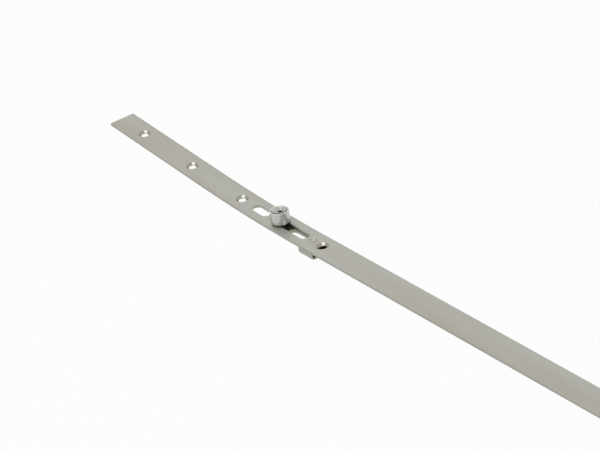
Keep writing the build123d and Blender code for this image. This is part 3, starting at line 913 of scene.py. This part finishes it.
class ESPAGNOLETTE_OT_cams(EspagnoletteOperator, Operator):
    """Turn the rollers, pins and washers and mould the slide shoes"""

    bl_idname = "espagnolette.cams"
    bl_label = "Roller cams"

    def execute(self, context):
        cam, outer_face = settings("cam"), settings("plate").thickness
        for side in SIDES:
            pin_x, axis_x = joint_place(f"{side}_cam_adjust").x, joint_place(f"{side}_roller_spin").x
            on_axis, on_pin = (Matrix.Translation((x, 0, outer_face)) for x in (axis_x, pin_x))
            pin = Matrix.Translation((pin_x, 0, 0))
            rod_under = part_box(f"drive_rod_{side}")[0].z
            head, neck = pin_head_shape(cam, pin_x - axis_x), pin_neck_shape(cam, rod_under - outer_face)
            plate, collar = shoe_shapes(cam, f"cam_glide_{side}")
            washer = washer_shape(cam, rod_under)
            parts = {
                "roller": [(roller_shape(cam), on_axis)],
                "eccentric_pin": [(head, on_axis), (neck, on_pin)],
                "spring_washer": [(washer, pin)],
                "slide_shoe": [(plate, pin), (collar, pin)],
            }
            rows = (
                ("roller", "cam_roller", f"{side}_roller", ["cam"], "cam_steel"),
                ("eccentric_pin", "cam_pin", f"{side}_cam_pin", ["pin", "dish", "seam"], "pin_steel"),
                ("spring_washer", "cam_washer", "drive_rods", ["pin"], "pin_steel"),
                ("slide_shoe", "cam_glide", "drive_rods", ["shoe"], "glide_plastic"),
            )
            for name, node, body, finishes, slot in rows:
                make_piece(gather(parts[name]), f"{name}_{side}", body, finishes, [f"{node}_{side}"])
        return {"FINISHED"}


# Guide clips


def bend_length(clip):
    """Length of sheet in a quarter bend of the clip."""
    return (clip.bend_radius - clip.sheet / 2) * pi / 2


def clip_blank(clip, half, depth, inner, outer, screw):
    """Flat blank of the clip, with the notch for the fixing screw open at its inner end."""
    developed = half - clip.bend_radius + bend_length(clip) + depth - clip.bend_radius
    bm = bmesh.new()
    # A loop of four points is a plain rectangle, which reaches past its core by the inset
    spare, inset = 2 * clip.notch, clip.edge * cos(pi / 4)
    edges = loop_round(bm, (inner - spare, outer - inset, developed - inset), clip.edge, 0, segments=4)
    edges += loop_round(bm, (inner - spare / 2, screw, 0), clip.notch / 2, 0)
    fill_between(bm, edges, 1)
    cut_at(bm, (inner, 0, 0), (-1, 0, 0), clear=True)
    grown = bmesh.ops.extrude_face_region(bm, geom=bm.faces[:])["geom"]
    upper = [g for g in grown if isinstance(g, bmesh.types.BMVert)]
    bmesh.ops.translate(bm, verts=upper, vec=(0, 0, clip.sheet))
    join_doubles(bm)
    round_edges(bm, sharp_edges(bm), clip.edge)
    return bm


def fold_clip(bm, clip, half):
    """Bends a flat blank up into the clip's U: floor, round bends and walls."""
    flat, bend = half - clip.bend_radius, bend_length(clip)
    lines = [flat + bend * i / CLIP_BEND_FACETS for i in range(CLIP_BEND_FACETS + 1)]
    for y in lines + [-y for y in lines]:
        cut_at(bm, (0, y, 0), (0, 1, 0))
    for vert in bm.verts:
        along = abs(vert.co.y)
        if along <= flat:
            continue
        side = 1 if vert.co.y > 0 else -1
        turn = min((along - flat) / bend, 1) * pi / 2
        radius = clip.bend_radius - vert.co.z
        up = max(along - flat - bend, 0)
        vert.co.y = side * (flat + radius * sin(turn))
        vert.co.z = clip.bend_radius - radius * cos(turn) + up


def crowned(radius, drop, top, steps=8):
    """Profile of a low crown from its edge to its middle, steep only near the edge."""
    places = [i / steps for i in range(steps + 1)]
    return [(radius * (1 - place ** 2), top - drop * (1 - place) ** 3) for place in places]


def clip_rivet(plate, clip, under):
    """Rivet whose crowned head is flush with the strip and whose tail is set under the clip."""
    tail, shank, low = clip.tail / 2, plate.rivet_shank / 2, under - clip.tail_thickness
    bm = turned([
        (0, low), (tail - clip.tail_thickness, low), (tail, under - clip.tail_thickness / 3), (tail, under),
        (shank, under), (shank, plate.thickness - plate.rivet_sink),
        *crowned(plate.rivet_head / 2, plate.rivet_crown, plate.thickness),
    ])
    break_and_mark(bm, clip.edge, segments=3)
    return bm


class ESPAGNOLETTE_OT_clips(EspagnoletteOperator, Operator):
    """Press the guide clips and set their rivets"""

    bl_idname = "espagnolette.clips"
    bl_label = "Guide clips"

    def execute(self, context):
        plate, clip = settings("plate"), settings("clip")
        pin = plate_end() - plate.pin_from_end
        low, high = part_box("guide_clip_right")
        rivets = []
        for side, sign in SIDES.items():
            name = f"guide_clip_{side}"
            bm = clip_blank(clip, high.y, high.z - low.z, low.x, high.x, pin - plate.inner_screw)
            fold_clip(bm, clip, high.y)
            lift(bm, low.z)
            if sign < 0:
                # The left clip is the right one mirrored
                bmesh.ops.scale(bm, verts=bm.verts, vec=(-1, 1, 1))
                bmesh.ops.recalc_face_normals(bm, faces=bm.faces)
            make_piece(bm, f"{name}_sheet", "fixed_part", ["clip"], [name])
            place = Matrix.Translation((sign * (pin - plate.rivet_from_pin), 0, 0))
            rivets.append((clip_rivet(plate, clip, low.z), place))
        make_piece(gather(rivets), "clip_rivet_pair", "fixed_part", ["rivet"], ["clip_rivets"])
        return {"FINISHED"}


# Gearbox


def solid_middles(node):
    """The middle of each separate solid of a CAD node, in order."""
    bm = bmesh.new()
    bm.from_mesh(frame["nodes"][node].data)
    bmesh.ops.remove_doubles(bm, verts=bm.verts, dist=MERGE)
    left, middles = set(bm.verts), []
    while left:
        group, todo = [], [left.pop()]
        while todo:
            vert = todo.pop()
            group.append(vert)
            near = {e.other_vert(vert) for e in vert.link_edges} & left
            left -= near
            todo += near
        spans = [(min(v.co[i] for v in group) + max(v.co[i] for v in group)) / 2 for i in range(3)]
        middles.append(Vector(spans))
    bm.free()
    return sorted(middles, key=tuple)


def domed_rivet(case, half_length, steps=6):
    """Rivet with a low dome at each end, along Z."""
    shank, head = case.rivet / 2, case.rivet_head / 2
    turns = [pi / 2 * i / steps for i in range(1, steps + 1)]
    dome = [(head * cos(turn), half_length + case.rivet_dome * sin(turn)) for turn in turns]
    upper = [(shank, half_length), (head, half_length)] + dome
    bm = turned([(r, -z) for r, z in reversed(upper)] + upper, FASTENER_FACETS)
    break_and_mark(bm)
    return bm


def countersunk_screw(case, top):
    """Socket screw with a countersunk head and a thread of even rings, along Z."""
    shank, root = case.screw / 2, case.screw / 2 - THREAD_DEPTH * case.screw_pitch
    head_low = top - case.screw_sink
    rings = int((case.screw_length - case.screw_sink) / case.screw_pitch) - 1
    start = top - case.screw_length
    profile = [(0, start), (root, start)]
    for i in range(rings):
        low = start + (i + 0.5) * case.screw_pitch
        profile += [(shank, low), (root, low + case.screw_pitch / 2)]
    profile += [(root, head_low), (case.screw_neck / 2, head_low)]
    profile += [(case.screw_head / 2, top), (case.screw_socket / 2 * SCREW_MOUTH, top)]
    bm = turned(profile, FASTENER_FACETS)
    hexagon_socket(bm, case.screw_socket, case.screw_socket_depth, top)
    break_and_mark(bm)
    return bm


def rack_stud(case, low, high, rod_top):
    """Stud of the rack with its head riveted over the rod, along Z."""
    shank, head = case.stud / 2, case.stud_head / 2
    bm = turned([
        (0, low), (shank, low), (shank, rod_top), (head, rod_top), (head - (high - rod_top), high), (0, high),
    ], FASTENER_FACETS)
    break_and_mark(bm)
    return bm


class ESPAGNOLETTE_OT_gearbox(EspagnoletteOperator, Operator):
    """Dress the gearbox: its case, rivets, screws, pinion and rack"""

    bl_idname = "espagnolette.gearbox"
    bl_label = "Gearbox"

    def execute(self, context):
        case, plate = settings("case"), settings("plate")
        for name in ("case_tray", "case_cover", "end_block_left", "end_block_right"):
            dress_node(name, "case", case.edge)
        for name in ("follower_pinion", "rack_bar", "handle_pillar_left", "handle_pillar_right"):
            dress_node(name, "gear")
        across = Matrix.Rotation(pi / 2, 4, "X")
        half_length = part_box("case_rivets")[1].y - case.rivet_dome
        rivets = [
            (domed_rivet(case, half_length), Matrix.Translation((middle.x, 0, middle.z)) @ across)
            for middle in solid_middles("case_rivets")
        ]
        screws = [
            (countersunk_screw(case, plate.thickness), Matrix.Translation((sign * plate.gearbox_screw, 0, 0)))
            for sign in SIDES.values()
        ]
        low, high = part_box("rack_rivets")
        rod_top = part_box("drive_rod_left")[1].z
        studs = [
            (rack_stud(case, low.z, high.z, rod_top), Matrix.Translation((middle.x, 0, 0)))
            for middle in solid_middles("rack_rivets")
        ]
        rows = (
            (rivets, "case_rivet_set", "fixed_part", "rivet", "case_rivets", "rivet_steel"),
            (screws, "gearbox_screw_pair", "fixed_part", "screw", "gearbox_screws", "screw_steel"),
            (studs, "rack_stud_set", "drive_rods", "rivet", "rack_rivets", "rivet_steel"),
        )
        for parts, name, body, finish_name, node, slot in rows:
            make_piece(gather(parts), name, body, [finish_name], [node])
        return {"FINISHED"}


# Stage


def camera_place(stage, foot):
    """The photograph's viewpoint: the camera's turn and place about the left cam's foot on the plate."""
    azimuth, elevation, roll = stage.azimuth, stage.elevation, stage.roll
    back = Vector((sin(azimuth) * cos(elevation), -cos(azimuth) * cos(elevation), sin(elevation)))
    right = Vector((cos(azimuth), sin(azimuth), 0))
    up = back.cross(right)
    right, up = cos(roll) * right + sin(roll) * up, cos(roll) * up - sin(roll) * right
    per_pixel = stage.distance / stage.focal_pixels
    off_x = (stage.aim_x - stage.photo_width / 2) * per_pixel
    off_y = -(stage.aim_y - stage.photo_height / 2) * per_pixel
    place = foot - off_x * right - off_y * up + stage.distance * back
    return Matrix.Translation(place) @ Matrix((right, up, back)).transposed().to_4x4()


def backdrop(tree, surface, seen, lit):
    """Shows one shader to the camera, to gloss and to glass, and lights everything else by the other."""
    path = add_node(tree, "LightPath").outputs
    either = math_node(tree, "MAXIMUM", path["Is Camera Ray"], path["Is Glossy Ray"])
    either = math_node(tree, "MAXIMUM", either, path["Is Transmission Ray"])
    mix = add_node(tree, "MixShader")
    tree.links.new(either, mix.inputs["Fac"])
    tree.links.new(lit, mix.inputs[1])
    tree.links.new(seen, mix.inputs[2])
    tree.links.new(mix.outputs["Shader"], surface)


class ESPAGNOLETTE_OT_stage(EspagnoletteOperator, Operator):
    """Set the floor, the soft light and the camera"""

    bl_idname = "espagnolette.stage"
    bl_label = "Stage"

    def execute(self, context):
        scene, stage = context.scene, settings("stage")
        cam_foot = Vector((joint_place("left_roller_spin").x, 0, 0))
        self.make_world(scene, stage)
        self.make_floor(stage)
        self.make_lights(stage, cam_foot)
        self.make_camera(scene, stage, cam_foot + Vector((0, 0, settings("plate").thickness)))
        scene.view_settings.view_transform = "Standard"
        return {"FINISHED"}

    def make_world(self, scene, stage):
        """A white backdrop that lights the object at a plain level."""
        world = bpy.data.worlds.new("espagnolette studio")
        world.use_nodes = True
        scene.world = world
        tree = world.node_tree
        lit, seen = tree.nodes["Background"], add_node(tree, "Background", {"Color": WHITE, "Strength": 1.0})
        lit.inputs["Color"].default_value = WHITE
        lit.inputs["Strength"].default_value = stage.soft_light
        backdrop(tree, tree.nodes["World Output"].inputs["Surface"], seen.outputs[0], lit.outputs[0])

    def make_floor(self, stage):
        """A plain pale floor, nearly white to the camera, that keeps a faint shadow of the object."""
        material = bpy.data.materials.new("espagnolette floor")
        material.use_nodes = True
        tree = material.node_tree
        shader = tree.nodes["Principled BSDF"]
        shader.inputs["Base Color"].default_value = (*stage.floor_colour, 1)
        shader.inputs["Roughness"].default_value = stage.floor_roughness
        glow = add_node(tree, "Emission")
        blend = add_node(tree, "MixShader", {"Fac": stage.floor_glow})
        tree.links.new(shader.outputs[0], blend.inputs[1])
        tree.links.new(glow.outputs[0], blend.inputs[2])
        surface = tree.nodes["Material Output"].inputs["Surface"]
        backdrop(tree, surface, blend.outputs[0], shader.outputs[0])
        bm = bmesh.new()
        bmesh.ops.create_grid(bm, x_segments=1, y_segments=1, size=stage.floor_size / 2)
        lift(bm, -stage.floor_drop)
        mesh = mesh_of(bm, "studio_floor")
        mesh.materials.append(material)
        add_object("studio_floor", mesh)

    def make_lights(self, stage, aim):
        """Two square lamps that face the left cam."""
        for name in ("key", "fill"):
            light = bpy.data.lights.new(f"{name}_light", "AREA")
            light.shape = "SQUARE"
            light.size = getattr(stage, f"{name}_size")
            light.energy = getattr(stage, f"{name}_power")
            place = Vector(getattr(stage, f"{name}_place"))
            lamp = add_object(f"{name}_light", light)
            lamp.location = aim + place
            lamp.rotation_euler = place.to_track_quat("Z", "Y").to_euler()

    def make_camera(self, scene, stage, foot):
        """The photograph's camera."""
        data = bpy.data.cameras.new("photo_camera")
        data.sensor_width = 36.0
        data.lens = data.sensor_width * stage.focal_pixels / stage.photo_width
        data.clip_start = 0.01
        camera = add_object("photo_camera", data)
        camera.matrix_world = camera_place(stage, foot)
        scene.camera = camera


STEPS = (
    ESPAGNOLETTE_OT_finishes, ESPAGNOLETTE_OT_faceplate, ESPAGNOLETTE_OT_rods, ESPAGNOLETTE_OT_cams,
    ESPAGNOLETTE_OT_clips, ESPAGNOLETTE_OT_gearbox, ESPAGNOLETTE_OT_stage,
)


class VIEW3D_PT_espagnolette(Panel):
    """Lists the steps in order, then the sizes and finishes"""

    bl_label = "Window espagnolette"
    bl_idname = "VIEW3D_PT_espagnolette"
    bl_space_type = "VIEW_3D"
    bl_region_type = "UI"
    bl_category = "Espagnolette"

    def draw(self, context):
        for step in STEPS:
            self.layout.operator(step.bl_idname)
        for name, group in GROUPS.items():
            box = self.layout.box()
            box.label(text=name.capitalize())
            for key in group.__annotations__:
                box.prop(settings(name), key)


def register():
    for cls in (*GROUPS.values(), *STEPS, VIEW3D_PT_espagnolette):
        bpy.utils.register_class(cls)
    for name, group in GROUPS.items():
        setattr(bpy.types.Scene, f"espagnolette_{name}", PointerProperty(type=group))


def unregister():
    for name in GROUPS:
        delattr(bpy.types.Scene, f"espagnolette_{name}")
    for cls in (VIEW3D_PT_espagnolette, *reversed(STEPS), *GROUPS.values()):
        bpy.utils.unregister_class(cls)


def main():
    register()
    for step in ("finishes", "faceplate", "rods", "cams", "clips", "gearbox", "stage"):
        getattr(bpy.ops.espagnolette, step)()
    bpy.context.view_layer.update()


if __name__ == "__main__":
    main()
